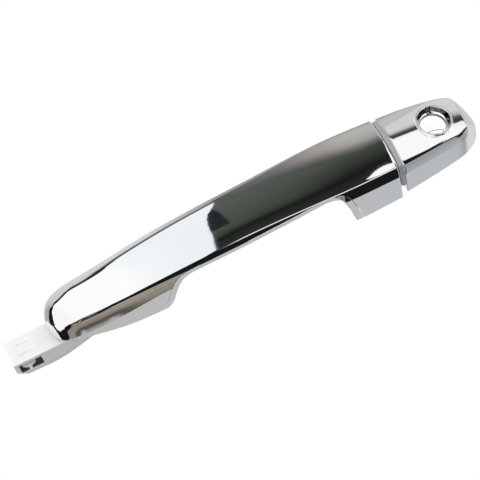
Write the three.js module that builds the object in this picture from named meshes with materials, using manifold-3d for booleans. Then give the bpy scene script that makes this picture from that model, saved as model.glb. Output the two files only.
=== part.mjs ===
// Outside door handle of a car: a bowed strap grip that swings on a front arm,
// and a fixed rear cap with an empty key hole.
// Millimetres. X runs along the handle from the front arm to the cap, Y is up the
// door, Z points out of the door. The shapes are drawn from the cap's front face at
// X = 0 and the door skin at Z = 0, then moved so the origin is the cap's seat.
import * as THREE from 'three';
import Module from 'manifold-3d';

const wasm = await Module();
wasm.setup();

// ---------- driving sizes ----------
const CLEARANCE = 0.3;
const SEAT_X = 16;

const GRIP_LENGTH = 194.2;
const GRIP_WIDTH = 35;
const GRIP_HEIGHT = 31.4;
const GRIP_CROWN = 5;
const GRIP_GAP = 3;
const WALL = 2.2;
const SIDE_DRAFT = 1;
const SIDE_BAND = 7;
const NOSE_ROUND = 18;
const NOSE_FALL = 8;
const NOSE_SWEEP = 3;
const NOSE_LIFT = 1.6;

const FRONT_FOOT = 61.2;
const REAR_FOOT = 27.2;
const STRAP_THICKNESS = 9.6;
const BACKING_THICKNESS = 3.8;

const CAP_LENGTH = 47.5;
const CAP_FRONT_HALF = 15.9;
const CAP_REAR_HALF = 9.6;
const CAP_SIDE_BOW = 1;
const CAP_CREASE = 28.3;
const CAP_CREASE_FALL = 4.4;
const CAP_CROWN = 5;
const CAP_RIM_Z = 3;
const CAP_ROUND = 17;
const CAP_END_FALL = 15;
const TONGUE_INSET = 0.8;
const TONGUE_FOOT = 9;

const KEY_X = 25.4;
const KEY_Y = -1;
const KEY_TILT = 10;
const KEY_RIM_RADIUS = 9.7;
const KEY_BORE_RADIUS = 6.5;
const KEY_CONE_DEPTH = 3;
const BEZEL_LIP = 0.5;
const BEZEL_SEAT = 2;
const COLLAR_WALL = 1.4;
const COLLAR_SINK = 1.3;
const PASSAGE_MARGIN = 2;
const PASSAGE_OFFSET = 1;

const ARM_WIDTH = 15;
const ARM_Y = 2.55;
const NECK_SETBACK = 11.4;
const NECK_MARGIN = 2.2;
const ROOT_MARGIN = 1;
const ROOT_SETBACK = 10.8;
const ROOT_LENGTH = 17.9;
const ROOT_HEIGHT = 5;
const ROOT_SCREW_SPACING = 8.2;
const ARM_OVERHANG = 24.8;
const ARM_TOP = -1;
const ARM_TIP_DEPTH = 13.2;
const ARM_BELLY = 15;
const PIVOT_SETBACK = 7.6;
const PIVOT_DROP = 6.2;
const BUSH_RADIUS = 3.4;
const BUSH_BORE = 2.2;
const BUSH_RECESS = 0.4;
const WINDOW_FRONT = 5.2;
const WINDOW_REAR = 7.4;
const WINDOW_LOW = 3.6;
const WINDOW_HIGH = 4;
const WINDOW_DEPTH = 1.6;
const ARM_RIB = 3;
const GROOVE_START = 5.5;
const GROOVE_LENGTH = 6.5;
const GROOVE_WIDTH = 0.8;
const GROOVE_DEPTH = 0.5;
const GROOVE_SPACING = 6;

const CORE_GAP = 0.5;
const CORE_WIDTH = 9;
const CORE_END_GAP = 9;

const PLATE_Z = 2;
const PLATE_THICKNESS = 2;
const LEG_WIDTH = 12;
const LEG_DEPTH = 16.5;
const LEG_THICKNESS = 8;
const LEG_BLOCK_HEIGHT = 8.2;
const LEG_BLOCK_MARGIN = 1;
const LEG_SCREW_GAP = 1;
const HOOK_TOE = 4;
const HOOK_SLOT = 7.5;
const HOOK_WEB = 3;
const BUFFER_THICKNESS = 1.6;
const BUFFER_INSET = 0.6;
const PAD_THICKNESS = 1.3;
const PAD_MARGIN = 0.8;
const PAD_WIDTH = 16;

const SCREW_SHANK = 1.2;
const SCREW_HEAD = 2.6;
const SCREW_HEAD_HEIGHT = 1;
const SCREW_SLOT = 0.7;
const SCREW_WALL = 1.4;

const BASE_LIFT = 0.6;
const BASE_THICKNESS = 2.2;
const GASKET_INSET = 3.2;
const CAP_SCREW_X = 8;
const CAP_SCREW_MARGIN = 4.8;
const CAP_SCREW_GRIP = 7;
const CAP_POST_RADIUS = 3;
const CAP_BOSS_X = 8.5;
const CAP_BOSS_LENGTH = 8;
const CAP_BOSS_DEPTH = 11;
const CAP_BOSS_GAP = 1.2;
const CLAMP_BORE_RADIUS = 1.8;
const CLAMP_BORE_RISE = 4;

const REAR_X = -GRIP_GAP;
const TIP_X = REAR_X - GRIP_LENGTH;
const GAP_HEIGHT = GRIP_HEIGHT + GRIP_CROWN - STRAP_THICKNESS;

// ---------- small helpers ----------
function smoothstep(a, b, x) {
  const s = Math.min(1, Math.max(0, (x - a) / (b - a)));
  return s * s * (3 - 2 * s);
}

// Smooth curve through [position, value] pairs.
function curveThrough(pairs) {
  const slope = pairs.map((p, i) => {
    const a = pairs[Math.max(0, i - 1)];
    const b = pairs[Math.min(pairs.length - 1, i + 1)];
    return (b[1] - a[1]) / (b[0] - a[0]);
  });
  return (x) => {
    let i = 0;
    while (i < pairs.length - 2 && x > pairs[i + 1][0]) i += 1;
    const [x0, y0] = pairs[i];
    const [x1, y1] = pairs[i + 1];
    const h = x1 - x0;
    const s = Math.min(1, Math.max(0, (x - x0) / h));
    const a = (1 + 2 * s) * (1 - s) ** 2 * y0 + s * s * (3 - 2 * s) * y1;
    return a + h * (s * (1 - s) ** 2 * slope[i] - s * s * (1 - s) * slope[i + 1]);
  };
}

function solid(geometry) {
  const welded = weld(geometry);
  const mesh = new wasm.Mesh({
    numProp: 3,
    vertProperties: new Float32Array(welded.points),
    triVerts: new Uint32Array(welded.faces),
  });
  return new wasm.Manifold(mesh);
}

function weld(geometry) {
  const position = geometry.getAttribute('position');
  const index = geometry.index;
  const count = index ? index.count : position.count;
  const seen = new Map();
  const points = [];
  const corner = [];
  for (let i = 0; i < count; i += 1) {
    const v = index ? index.getX(i) : i;
    const xyz = [position.getX(v), position.getY(v), position.getZ(v)];
    const key = xyz.map((c) => Math.round(c * 5000)).join();
    if (!seen.has(key)) {
      seen.set(key, points.length / 3);
      points.push(...xyz);
    }
    corner.push(seen.get(key));
  }
  const faces = [];
  for (let i = 0; i < corner.length; i += 3) {
    const [a, b, c] = corner.slice(i, i + 3);
    if (a !== b && b !== c && a !== c) faces.push(a, b, c);
  }
  return { points, faces };
}

function geometryOf(manifold) {
  const mesh = manifold.getMesh();
  const geometry = new THREE.BufferGeometry();
  const step = mesh.numProp;
  const points = [];
  for (let i = 0; i < mesh.vertProperties.length; i += step) {
    points.push(...mesh.vertProperties.slice(i, i + 3));
  }
  geometry.setAttribute('position', new THREE.Float32BufferAttribute(points, 3));
  geometry.setIndex(Array.from(mesh.triVerts));
  const flat = geometry.toNonIndexed();
  flat.computeVertexNormals();
  return flat;
}

// Closed skin over a row of matching loops, each end closed by a fan.
function loft(loops) {
  const n = loops[0].length;
  const points = loops.flat();
  const faces = [];
  for (let i = 0; i < loops.length - 1; i += 1) {
    for (let j = 0; j < n; j += 1) {
      const a = i * n + j;
      const b = i * n + ((j + 1) % n);
      faces.push(a, b + n, b, a, a + n, b + n);
    }
  }
  for (const end of [0, loops.length - 1]) {
    const hub = points.length;
    const middle = new THREE.Vector3();
    loops[end].forEach((p) => middle.add(p));
    points.push(middle.divideScalar(n));
    for (let j = 0; j < n; j += 1) {
      const a = end * n + j;
      const b = end * n + ((j + 1) % n);
      if (end === 0) faces.push(hub, a, b);
      else faces.push(hub, b, a);
    }
  }
  const geometry = new THREE.BufferGeometry();
  const flat = points.flatMap((p) => [p.x, p.y, p.z]);
  geometry.setAttribute('position', new THREE.Float32BufferAttribute(flat, 3));
  geometry.setIndex(faces);
  return solid(geometry);
}

function shapeOf(pairs) {
  return new THREE.Shape(pairs.map(([a, b]) => new THREE.Vector2(a, b)));
}

// Outline in X and Z carried along Y.
function alongY(pairs, y0, y1) {
  const geometry = new THREE.ExtrudeGeometry(shapeOf(pairs), { depth: y1 - y0, bevelEnabled: false });
  geometry.rotateX(Math.PI / 2);
  geometry.translate(0, y1, 0);
  return solid(geometry);
}

// Outline in X and Y carried along Z.
function alongZ(pairs, z0, z1) {
  const geometry = new THREE.ExtrudeGeometry(shapeOf(pairs), { depth: z1 - z0, bevelEnabled: false });
  geometry.translate(0, 0, z0);
  return solid(geometry);
}

function block(x0, x1, y0, y1, z0, z1) {
  const geometry = new THREE.BoxGeometry(x1 - x0, y1 - y0, z1 - z0);
  geometry.translate((x0 + x1) / 2, (y0 + y1) / 2, (z0 + z1) / 2);
  return solid(geometry);
}

function postZ(x, y, z0, z1, radius, sides = 24) {
  const geometry = new THREE.CylinderGeometry(radius, radius, z1 - z0, sides);
  geometry.rotateX(Math.PI / 2);
  geometry.translate(x, y, (z0 + z1) / 2);
  return solid(geometry);
}

function postY(x, z, y0, y1, radius, sides = 28) {
  const geometry = new THREE.CylinderGeometry(radius, radius, y1 - y0, sides);
  geometry.translate(x, (y0 + y1) / 2, z);
  return solid(geometry);
}

// Turned piece: [radius, height] outline about its own axis, stood along Z.
function turned(pairs, sides) {
  const outline = pairs.map(([r, h]) => new THREE.Vector2(r, h));
  const geometry = new THREE.LatheGeometry(outline, sides);
  geometry.rotateX(Math.PI / 2);
  return geometry;
}

// ---------- grip shape ----------
const gripHalf = curveThrough([
  [0, 0.455], [0.139, 0.4715], [0.386, 0.423], [0.644, 0.397], [0.824, 0.354], [1, 0.285],
]);
const gripCrease = curveThrough([
  [0, 0.924], [0.15, 0.981], [0.3, 1], [0.515, 0.975], [0.747, 0.853], [0.901, 0.653], [1, 0.51],
]);

function gripStation(x, inset = 0) {
  const along = (REAR_X - x) / GRIP_LENGTH;
  const fromTip = x - TIP_X - inset;
  const u = Math.min(1, Math.max(0, 1 - fromTip / NOSE_ROUND));
  const round = (1 - u ** 2.4) ** (1 / 2.4);
  const v = Math.min(1, Math.max(0, 1 - fromTip / NOSE_FALL));
  const fall = NOSE_FALL * (1 - Math.sqrt(1 - v * v));
  return {
    x,
    middle: NOSE_SWEEP * smoothstep(0.76, 0.98, along),
    half: (gripHalf(along) * GRIP_WIDTH - inset) * round,
    draft: SIDE_DRAFT * round,
    crease: gripCrease(along) * GRIP_HEIGHT - fall - inset * 0.6,
    band: SIDE_BAND,
    crown: GRIP_CROWN * (0.55 + 0.45 * round) - inset * 0.4,
    foot: inset > 0 ? -6 : NOSE_LIFT * smoothstep(0.8, 0.96, along),
  };
}

// Cross-section loop: foot, side wall, leaning band, crease and crowned face.
function section(s, crownSteps, bandSteps) {
  const side = [[s.half + s.draft * 1.3, s.foot]];
  const shoulder = Math.max(s.foot + 1, s.crease - s.band);
  for (let i = 0; i <= bandSteps; i += 1) {
    const t = i / bandSteps;
    const reach = s.half + s.draft * (1 - t * t);
    side.push([reach, shoulder + (s.crease - shoulder) * t]);
  }
  for (let i = 1; i < crownSteps; i += 1) {
    const t = 1 - i / crownSteps;
    side.push([s.half * t, s.crease + s.crown * (1 - t * t)]);
  }
  const near = side.map(([y, z]) => new THREE.Vector3(s.x, s.middle - y, z));
  const top = new THREE.Vector3(s.x, s.middle, s.crease + s.crown);
  const far = side.map(([y, z]) => new THREE.Vector3(s.x, s.middle + y, z)).reverse();
  return [...near, top, ...far];
}

function gripBody(inset, straightSteps, noseSteps, crownSteps, bandSteps) {
  const loops = [];
  const rear = inset > 0 ? REAR_X - inset : REAR_X;
  const noseX = TIP_X + inset + NOSE_ROUND;
  for (let i = 0; i < straightSteps; i += 1) {
    loops.push(rear + (noseX - rear) * (i / straightSteps));
  }
  for (let i = 0; i <= noseSteps; i += 1) {
    const angle = (i / noseSteps) * 1.47;
    loops.push(noseX - NOSE_ROUND * Math.sin(angle));
  }
  return loft(loops.reverse().map((x) => section(gripStation(x, inset), crownSteps, bandSteps)));
}

// Finger opening seen from the side, from the front foot up under the strap to the rear foot.
const FRONT_FOOT_X = TIP_X + FRONT_FOOT;
const REAR_FOOT_X = REAR_X - REAR_FOOT;
const openingSpan = REAR_FOOT_X - FRONT_FOOT_X;
const openingLine = new THREE.SplineCurve([
  [0, 0], [0.029, 0.15], [0.061, 0.44], [0.092, 0.655], [0.131, 0.775], [0.185, 0.812],
  [0.285, 0.825], [0.47, 0.855], [0.675, 0.925], [0.81, 0.986], [0.885, 1], [0.936, 0.94],
  [0.955, 0.82], [0.97, 0.61], [0.988, 0.33], [1, 0],
].map(([a, b]) => new THREE.Vector2(FRONT_FOOT_X + a * openingSpan, b * GAP_HEIGHT)));

function openingEdge(offset) {
  const steps = 34;
  const edge = [];
  for (let i = 0; i <= steps; i += 1) {
    const p = openingLine.getPoint(i / steps);
    const t = openingLine.getTangent(i / steps);
    edge.push([p.x - t.y * offset, p.y + t.x * offset]);
  }
  edge[0][1] = 0;
  edge[steps][1] = 0;
  return edge;
}

function openingHeight(x) {
  let low = 0;
  let high = 1;
  for (let i = 0; i < 40; i += 1) {
    const mid = (low + high) / 2;
    if (openingLine.getPoint(mid).x < x) low = mid;
    else high = mid;
  }
  return openingLine.getPoint(low).y;
}

const REACH = GRIP_WIDTH;
const BELOW = -6;

function openingCut(offset) {
  const edge = openingEdge(offset);
  const last = edge[edge.length - 1];
  return alongY([[edge[0][0], BELOW], ...edge, [last[0], BELOW]].reverse(), -REACH, REACH);
}

const parts = [];

function add(name, body, material) {
  const geometry = geometryOf(body);
  geometry.translate(-SEAT_X, 0, 0);
  const mesh = new THREE.Mesh(geometry, new THREE.MeshStandardMaterial(material));
  mesh.name = name;
  parts.push(mesh);
}

const CHROME = { color: 0xd9dcdf, roughness: 0.06, metalness: 1 };
const CAST_ZINC = { color: 0xc9ccd0, roughness: 0.28, metalness: 1 };
const BLACK_PLASTIC = { color: 0x2c2d2f, roughness: 0.55, metalness: 0 };
const PALE_PLASTIC = { color: 0xe9e9e6, roughness: 0.5, metalness: 0 };
const RUBBER = { color: 0x1c1c1d, roughness: 0.85, metalness: 0 };
const SCREW_STEEL = { color: 0xb9b4a2, roughness: 0.35, metalness: 1 };

// Pan-head screw pointing up: head below z, shank above.
function screw(name, x, y, z, length) {
  const geometry = turned([
    [0, 0], [SCREW_HEAD * 0.7, 0], [SCREW_HEAD, SCREW_HEAD_HEIGHT * 0.45],
    [SCREW_HEAD, SCREW_HEAD_HEIGHT], [SCREW_SHANK, SCREW_HEAD_HEIGHT],
    [SCREW_SHANK, SCREW_HEAD_HEIGHT + length - SCREW_SHANK],
    [0, SCREW_HEAD_HEIGHT + length],
  ], 14);
  geometry.translate(x, y, z);
  const body = solid(geometry);
  const slot = SCREW_HEAD * 0.55;
  const recess = SCREW_HEAD_HEIGHT * 0.5;
  const half = SCREW_SLOT / 2;
  const cross = block(x - slot, x + slot, y - half, y + half, z - 1, z + recess)
    .add(block(x - half, x + half, y - slot, y + slot, z - 1, z + recess));
  add(name, body.subtract(cross), SCREW_STEEL);
}

// ---------- grip cover and backing ----------
const outer = gripBody(0, 26, 9, 6, 4);
const hollow = gripBody(WALL, 18, 6, 4, 2);
const cover = outer.subtract(hollow).subtract(openingCut(BACKING_THICKNESS + CLEARANCE));
add('grip_cover', cover, CHROME);

const backingScrews = [0.2, 0.82].map((a) => {
  const x = FRONT_FOOT_X + a * openingSpan;
  return { x, z: openingHeight(x) };
});
const COUNTERBORE = SCREW_HEAD_HEIGHT + 2 * CLEARANCE;
let backing = outer.intersect(openingCut(BACKING_THICKNESS)).subtract(openingCut(0));
backingScrews.forEach(({ x, z }) => {
  backing = backing.subtract(postZ(x, 0, z - 4, z + COUNTERBORE, SCREW_HEAD + CLEARANCE));
  backing = backing.subtract(postZ(x, 0, z, z + 10, SCREW_SHANK + CLEARANCE));
});
add('grip_backing', backing, CHROME);

// Stiffening bar along the inside of the strap.
const coreHalf = CORE_WIDTH / 2;
const coreFrontX = backingScrews[0].x - SCREW_HEAD - CORE_END_GAP / 2;
const coreRearX = backingScrews[1].x + SCREW_HEAD + CORE_END_GAP / 2;
const coreLow = [];
const coreHigh = [];
for (let i = 0; i <= 16; i += 1) {
  const x = coreFrontX + (coreRearX - coreFrontX) * (i / 16);
  const s = gripStation(x, WALL);
  const dip = s.crown * (coreHalf / s.half) ** 2;
  coreLow.push([x, openingHeight(x) + BACKING_THICKNESS + CORE_GAP]);
  coreHigh.push([x, s.crease + s.crown - dip - CORE_GAP]);
}
let core = alongY([...coreLow, ...coreHigh.reverse()], -coreHalf, coreHalf);
backingScrews.forEach(({ x, z }) => {
  core = core.subtract(postZ(x, 0, z, z + 20, SCREW_SHANK + CLEARANCE));
});
add('grip_core', core, BLACK_PLASTIC);

backingScrews.forEach(({ x, z }, i) => {
  const low = z + COUNTERBORE - SCREW_HEAD_HEIGHT - CLEARANCE;
  screw(`backing_screw_${i + 1}`, x, 0, low, BACKING_THICKNESS + CORE_GAP);
});

// ---------- front arm ----------
const armNear = ARM_Y - ARM_WIDTH / 2;
const armFar = ARM_Y + ARM_WIDTH / 2;
const armTipX = TIP_X - ARM_OVERHANG;
const neckFrontX = TIP_X + NECK_SETBACK;
const rootRearX = FRONT_FOOT_X - ROOT_SETBACK;
const neckRearX = rootRearX - ROOT_LENGTH;
const rootLow = PLATE_Z + PLATE_THICKNESS + CLEARANCE;
const rootHigh = rootLow + ROOT_HEIGHT;
const pivotX = armTipX + PIVOT_SETBACK;
const pivotZ = ARM_TOP - PIVOT_DROP;

const bellyLine = new THREE.SplineCurve([
  new THREE.Vector2(armTipX + 5, ARM_TOP - ARM_TIP_DEPTH),
  new THREE.Vector2(TIP_X - 4, ARM_TOP - ARM_BELLY + 1),
  new THREE.Vector2(neckFrontX - 2, ARM_TOP - ARM_BELLY * 0.72),
  new THREE.Vector2(neckRearX, ARM_TOP - 1.5),
]).getPoints(10).map((p) => [p.x, p.y]);
const armOutline = [
  [armTipX, ARM_TOP], [armTipX, ARM_TOP - ARM_TIP_DEPTH * 0.62],
  [armTipX + 2.2, ARM_TOP - ARM_TIP_DEPTH * 0.8], ...bellyLine, [neckRearX, ARM_TOP],
];
// The neck passes the foot plate and the root sits above it, both inside the nose.
const noseRoom = gripStation(neckFrontX, WALL + CLEARANCE).half;
const neckHalf = noseRoom - NECK_MARGIN;
const rootHalf = noseRoom - ROOT_MARGIN;
const armScrews = [-1, 1].map((side) => (neckRearX + rootRearX + side * ROOT_SCREW_SPACING) / 2);
let arm = alongY(armOutline, armNear, armFar)
  .add(block(
    neckFrontX, neckRearX, ARM_Y - neckHalf, ARM_Y + neckHalf, ARM_TOP - 1.2, rootLow + 1,
  ))
  .add(block(
    neckFrontX, rootRearX, ARM_Y - rootHalf, ARM_Y + rootHalf, rootLow, rootHigh,
  ));
arm = arm.subtract(postY(pivotX, pivotZ, armNear - 1, armFar + 1, BUSH_RADIUS + CLEARANCE));
arm = arm.subtract(block(
  pivotX - WINDOW_FRONT, pivotX + WINDOW_REAR, armNear - 1, armNear + WINDOW_DEPTH,
  pivotZ - WINDOW_LOW, pivotZ + WINDOW_HIGH,
));
arm = arm.subtract(block(
  pivotX + WINDOW_REAR + ARM_RIB, neckFrontX + ARM_RIB, armNear + ARM_RIB, armFar - ARM_RIB,
  ARM_TOP - ARM_BELLY - 2, ARM_TOP - ARM_RIB - 1,
));
armScrews.forEach((x) => {
  arm = arm.subtract(postZ(x, ARM_Y, rootLow - 1, rootHigh + 1, SCREW_SHANK + CLEARANCE));
});
[-1, 1].forEach((side) => {
  const y = ARM_Y + side * GROOVE_SPACING / 2;
  arm = arm.subtract(block(
    armTipX + GROOVE_START, armTipX + GROOVE_START + GROOVE_LENGTH,
    y - GROOVE_WIDTH / 2, y + GROOVE_WIDTH / 2, ARM_TOP - GROOVE_DEPTH, ARM_TOP + 1,
  ));
});
add('front_arm', arm, CAST_ZINC);

const bushLength = ARM_WIDTH - WINDOW_DEPTH - 2 * BUSH_RECESS;
const bush = turned([
  [BUSH_BORE, 0], [BUSH_RADIUS, 0], [BUSH_RADIUS, bushLength], [BUSH_BORE, bushLength], [BUSH_BORE, 0],
], 28);
bush.rotateX(-Math.PI / 2);
bush.translate(pivotX, armFar - bushLength - BUSH_RECESS, pivotZ);
add('pivot_bush', solid(bush), PALE_PLASTIC);

// ---------- foot plates ----------
const plateRoom = gripBody(WALL + CLEARANCE, 18, 6, 4, 2)
  .subtract(openingCut(BACKING_THICKNESS + 2 * CLEARANCE));
const plateTop = PLATE_Z + PLATE_THICKNESS;
const footSplitX = (FRONT_FOOT_X + REAR_FOOT_X) / 2;

let frontPlate = plateRoom.intersect(block(TIP_X, footSplitX, -REACH, REACH, PLATE_Z, plateTop));
frontPlate = frontPlate.subtract(block(
  neckFrontX - CLEARANCE, neckRearX + CLEARANCE,
  ARM_Y - neckHalf - CLEARANCE, ARM_Y + neckHalf + CLEARANCE, PLATE_Z - 1, plateTop + 1,
));
armScrews.forEach((x) => {
  frontPlate = frontPlate.subtract(
    postZ(x, ARM_Y, PLATE_Z - 1, plateTop + 1, SCREW_SHANK + CLEARANCE),
  );
});
add('front_foot_plate', frontPlate, BLACK_PLASTIC);

const screwLow = PLATE_Z - CLEARANCE - SCREW_HEAD_HEIGHT;
armScrews.forEach((x, i) => {
  screw(`arm_screw_${i + 1}`, x, ARM_Y, screwLow, rootHigh - PLATE_Z - 1);
});

const legX = (REAR_X + REAR_FOOT_X) / 2;
const legHalf = LEG_THICKNESS / 2;
const legScrewY = LEG_WIDTH / 2 + SCREW_HEAD + LEG_SCREW_GAP;
const legBlockHalf = legHalf + LEG_BLOCK_MARGIN;
const blockHalf = legScrewY + SCREW_SHANK + SCREW_WALL;
const blockLow = plateTop + CLEARANCE;
const blockHigh = blockLow + LEG_BLOCK_HEIGHT;
let leg = block(legX - legBlockHalf, legX + legBlockHalf, -blockHalf, blockHalf, blockLow, blockHigh)
  .add(block(legX - legHalf, legX + legHalf, -LEG_WIDTH / 2, LEG_WIDTH / 2, -LEG_DEPTH, blockLow + 1));
const slotLow = -LEG_DEPTH + HOOK_TOE;
const slotHigh = slotLow + HOOK_SLOT;
const slotBack = legX + legHalf - HOOK_WEB;
leg = leg.subtract(block(
  legX - legHalf - 1, slotBack, -LEG_WIDTH, LEG_WIDTH, slotLow, slotHigh,
));
leg = leg.subtract(alongY([
  [slotBack, -LEG_DEPTH - 1], [legX + legHalf + 1, -LEG_DEPTH - 1],
  [legX + legHalf + 1, -LEG_DEPTH + HOOK_TOE * 0.8],
], -LEG_WIDTH, LEG_WIDTH));
[-1, 1].forEach((side) => {
  leg = leg.subtract(
    postZ(legX, side * legScrewY, blockLow - 1, blockHigh + 1, SCREW_SHANK + CLEARANCE),
  );
});
add('rear_leg', leg, CAST_ZINC);

const bufferTop = slotHigh - CLEARANCE;
const bufferHalf = LEG_WIDTH / 2 - BUFFER_INSET;
add('leg_buffer', block(
  legX - legHalf + CLEARANCE, slotBack - CLEARANCE, -bufferHalf, bufferHalf,
  bufferTop - BUFFER_THICKNESS, bufferTop,
), RUBBER);

let rearPlate = plateRoom.intersect(block(footSplitX, 0, -REACH, REACH, PLATE_Z, plateTop));
rearPlate = rearPlate.subtract(block(
  legX - legHalf - CLEARANCE, legX + legHalf + CLEARANCE,
  -LEG_WIDTH / 2 - CLEARANCE, LEG_WIDTH / 2 + CLEARANCE, PLATE_Z - 1, plateTop + 1,
));
[-1, 1].forEach((side) => {
  rearPlate = rearPlate.subtract(
    postZ(legX, side * legScrewY, PLATE_Z - 1, plateTop + 1, SCREW_SHANK + CLEARANCE),
  );
});
add('rear_foot_plate', rearPlate, BLACK_PLASTIC);
[-1, 1].forEach((side, i) => {
  screw(`leg_screw_${i + 1}`, legX, side * legScrewY, screwLow, blockHigh - PLATE_Z - 1);
});

// Rubber pads that meet the door skin when the grip drops back.
const padFar = PLATE_Z - CLEARANCE;
const padNear = padFar - PAD_THICKNESS;
const frontPadEnds = [rootRearX, FRONT_FOOT_X - BACKING_THICKNESS - 2 * CLEARANCE];
add('front_foot_pad', roundedPad(frontPadEnds), RUBBER);
const rearPadEnds = [
  REAR_FOOT_X + BACKING_THICKNESS + 2 * CLEARANCE, legX - legHalf - CLEARANCE,
];
add('rear_foot_pad', roundedPad(rearPadEnds), RUBBER);

function roundedPad([front, rear]) {
  const x = (front + rear) / 2;
  const r = (rear - front) / 2 - PAD_MARGIN;
  const outline = [];
  for (let i = 0; i <= 8; i += 1) {
    const a = Math.PI * (i / 8);
    outline.push([x + r * Math.cos(a), PAD_WIDTH / 2 - r + r * Math.sin(a)]);
  }
  for (let i = 0; i <= 8; i += 1) {
    const a = Math.PI * (1 + i / 8);
    outline.push([x + r * Math.cos(a), r - PAD_WIDTH / 2 + r * Math.sin(a)]);
  }
  return alongZ(outline, padNear, padFar);
}

// ---------- cap ----------
function capStation(x, inset = 0, foot = CAP_RIM_Z) {
  const along = x / CAP_LENGTH;
  const fromEnd = CAP_LENGTH - inset - x;
  const u = Math.min(1, Math.max(0, 1 - fromEnd / CAP_ROUND));
  const round = (1 - u ** 2.4) ** (1 / 2.4);
  const v = Math.min(1, Math.max(0, 1 - fromEnd / (CAP_ROUND * 0.5)));
  const bow = CAP_SIDE_BOW * Math.sin(Math.PI * along);
  const half = CAP_FRONT_HALF + (CAP_REAR_HALF - CAP_FRONT_HALF) * along + bow;
  return {
    x,
    middle: bow / 2,
    half: (half - inset) * round,
    draft: SIDE_DRAFT * round,
    crease: CAP_CREASE - CAP_CREASE_FALL * along - CAP_END_FALL * v ** 1.5 - inset * 0.6,
    band: SIDE_BAND,
    crown: CAP_CROWN * (1 - 0.5 * along) * (0.4 + 0.6 * round) - inset * 0.4,
    foot,
  };
}

function capBody(inset, foot, straightSteps, roundSteps, crownSteps, bandSteps) {
  const loops = [];
  const front = inset;
  const roundX = CAP_LENGTH - inset - CAP_ROUND;
  for (let i = 0; i < straightSteps; i += 1) {
    loops.push(front + (roundX - front) * (i / straightSteps));
  }
  for (let i = 0; i <= roundSteps; i += 1) {
    const angle = (i / roundSteps) * 1.47;
    loops.push(roundX + CAP_ROUND * Math.sin(angle));
  }
  return loft(loops.map((x) => section(capStation(x, inset, foot), crownSteps, bandSteps)));
}

const keyStation = capStation(KEY_X);
const keyTop = keyStation.crease + keyStation.crown * (1 - (KEY_Y / keyStation.half) ** 2);

// Carries a piece modelled about the origin to the key hole, leaning with the cap's face.
function atKey(geometry) {
  geometry.rotateY((KEY_TILT * Math.PI) / 180);
  geometry.translate(KEY_X, KEY_Y, keyTop);
  return geometry;
}

function keyPost(radius, z0, z1) {
  const geometry = new THREE.CylinderGeometry(radius, radius, z1 - z0, 40);
  geometry.rotateX(Math.PI / 2);
  geometry.translate(0, 0, (z0 + z1) / 2);
  return solid(atKey(geometry));
}

const capScrewY = CAP_FRONT_HALF - WALL - CAP_SCREW_MARGIN;
const baseLow = CAP_RIM_Z + BASE_LIFT;
const baseTop = baseLow + BASE_THICKNESS;

let cap = capBody(0, CAP_RIM_Z, 8, 9, 6, 4).subtract(capBody(WALL, -6, 6, 6, 4, 2));
// Raised collar under the key hole that carries the bezel.
const bezelDrop = KEY_CONE_DEPTH + BEZEL_SEAT;
const joinRoom = capBody(COLLAR_SINK, CAP_RIM_Z, 6, 6, 4, 2);
const collar = joinRoom.intersect(
  keyPost(KEY_RIM_RADIUS + CLEARANCE + COLLAR_WALL, -bezelDrop, 6),
);
cap = cap.add(collar).subtract(keyPost(KEY_RIM_RADIUS + CLEARANCE, -bezelDrop - 3, 12));
// Tongue that reaches into the joint with the grip.
const tongueLoop = (x) => {
  const s = capStation(0, 0, TONGUE_FOOT);
  s.half -= TONGUE_INSET;
  s.crease -= TONGUE_INSET * 0.7;
  s.crown -= TONGUE_INSET * 0.3;
  s.x = x;
  return section(s, 6, 4);
};
const tongueFront = -GRIP_GAP + 0.5;
cap = cap.add(loft([tongueFront, 0.6].map(tongueLoop)));
[-1, 1].forEach((side) => {
  const y = side * capScrewY;
  const post = postZ(CAP_SCREW_X, y, baseTop + CLEARANCE, CAP_CREASE + CAP_CROWN, CAP_POST_RADIUS)
    .intersect(joinRoom);
  const hole = postZ(CAP_SCREW_X, y, 0, baseTop + CAP_SCREW_GRIP + 3, SCREW_SHANK + CLEARANCE);
  cap = cap.add(post).subtract(hole);
});
add('cap_cover', cap, CHROME);

const seat = KEY_BORE_RADIUS + 1.1;
const bezel = turned([
  [KEY_BORE_RADIUS, -bezelDrop], [seat, -bezelDrop], [KEY_RIM_RADIUS - 0.4, -KEY_CONE_DEPTH * 0.75],
  [KEY_RIM_RADIUS, -0.6], [KEY_RIM_RADIUS, BEZEL_LIP * 0.4], [KEY_RIM_RADIUS - 0.5, BEZEL_LIP],
  [KEY_RIM_RADIUS - 1, BEZEL_LIP * 0.4], [KEY_BORE_RADIUS + 0.5, -KEY_CONE_DEPTH],
  [KEY_BORE_RADIUS, -KEY_CONE_DEPTH - 0.5], [KEY_BORE_RADIUS, -bezelDrop],
], 36);
add('keyhole_bezel', solid(atKey(bezel)), CHROME);

const baseRoom = capBody(WALL + CLEARANCE, -6, 8, 7, 4, 2);
let base = baseRoom.intersect(block(0, CAP_LENGTH, -REACH, REACH, baseLow, baseTop));
const passage = KEY_BORE_RADIUS + PASSAGE_MARGIN;
const passageX = KEY_X + PASSAGE_OFFSET;
base = base.subtract(postZ(passageX, 0, baseLow - 1, baseTop + 1, passage, 40));
const bossFront = CAP_BOSS_X - CAP_BOSS_LENGTH / 2;
const bossBack = CAP_BOSS_X + CAP_BOSS_LENGTH / 2;
const bossHalf = capScrewY - SCREW_HEAD - CAP_BOSS_GAP;
base = base.add(block(bossFront, bossBack, -bossHalf, bossHalf, -CAP_BOSS_DEPTH, baseLow + 0.5));
const crossBore = new THREE.CylinderGeometry(
  CLAMP_BORE_RADIUS, CLAMP_BORE_RADIUS, CAP_BOSS_LENGTH + 2, 24,
);
crossBore.rotateZ(Math.PI / 2);
crossBore.translate(CAP_BOSS_X, 0, -CAP_BOSS_DEPTH + CLAMP_BORE_RISE);
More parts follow.
